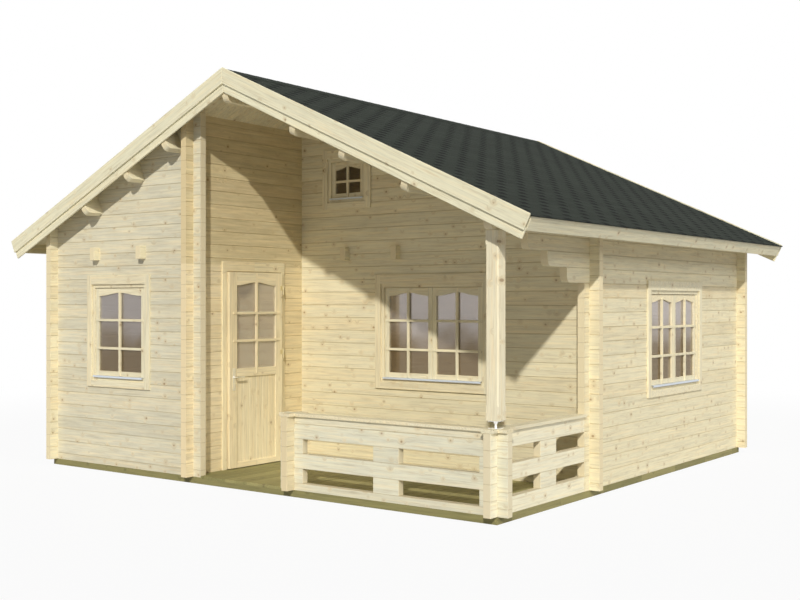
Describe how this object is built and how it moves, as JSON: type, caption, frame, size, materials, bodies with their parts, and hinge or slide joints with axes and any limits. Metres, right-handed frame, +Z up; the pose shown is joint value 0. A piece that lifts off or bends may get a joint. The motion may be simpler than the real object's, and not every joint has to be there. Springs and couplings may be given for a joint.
{
  "type": "holiday cabin",
  "caption": "Small gabled holiday cabin of interlocking square logs with a covered corner porch, log railing, arched glazing bars and a hinged door.",
  "frame": {"origin": "middle of the plan on the ground, under the bearers", "axes": "+X across the gable to the porch side, +Y from the gable front to the back, +Z up"},
  "size_m": [6.6198, 5.934, 3.9767],
  "materials": {
    "log_wood": "planed untreated spruce",
    "treated_wood": "pressure treated green",
    "joinery_wood": "planed untreated pine",
    "roof_boards": "tongued boards",
    "shingle": "mineral granules",
    "glass": "clear",
    "drip_metal": "satin",
    "steel": "brushed"
  },
  "bodies": {
    "cabin": {"perimeter_bearers": "treated_wood", "floor_bearers": "treated_wood", "porch_deck": "treated_wood", "room_floor": "joinery_wood", "front_wall": "log_wood", "left_wall": "log_wood", "back_wall": "log_wood", "right_wall": "log_wood", "right_eave_logs": "log_wood", "porch_back_wall": "log_wood", "door_wall_front": "log_wood", "door_wall_back": "log_wood", "door_wall_over": "log_wood", "loft_joists": "log_wood", "purlins": "log_wood", "left_roof_boards": "roof_boards", "right_roof_boards": "roof_boards", "left_shingles": "shingle", "right_shingles": "shingle", "left_upper_barges": "joinery_wood", "right_upper_barges": "joinery_wood", "left_lower_barges": "joinery_wood", "right_lower_barges": "joinery_wood", "eave_fascias": "joinery_wood", "window_frames": "joinery_wood", "window_casings": "joinery_wood", "window_sashes": "joinery_wood", "window_glass": "glass", "window_drips": "drip_metal", "door_frame": "joinery_wood", "door_casing": "joinery_wood", "frame_hinges": "steel", "front_rail_logs": "log_wood", "front_rail_blocks": "log_wood", "side_rail_logs": "log_wood", "side_rail_blocks": "log_wood", "railing_column": "log_wood", "railing_caps": "joinery_wood", "porch_post": "log_wood", "post_foot": "steel"},
    "door": {"door_leaf": "joinery_wood", "door_glass": "glass", "door_handles": "steel", "leaf_hinges": "steel"}
  },
  "joints": [
    {"name": "door_hinge", "type": "hinge", "parent": "cabin", "child": "door", "pos_m": [-0.587, -1.482, 0], "axis": [0, 0, 1], "range_deg": [0, 100]}
  ]
}
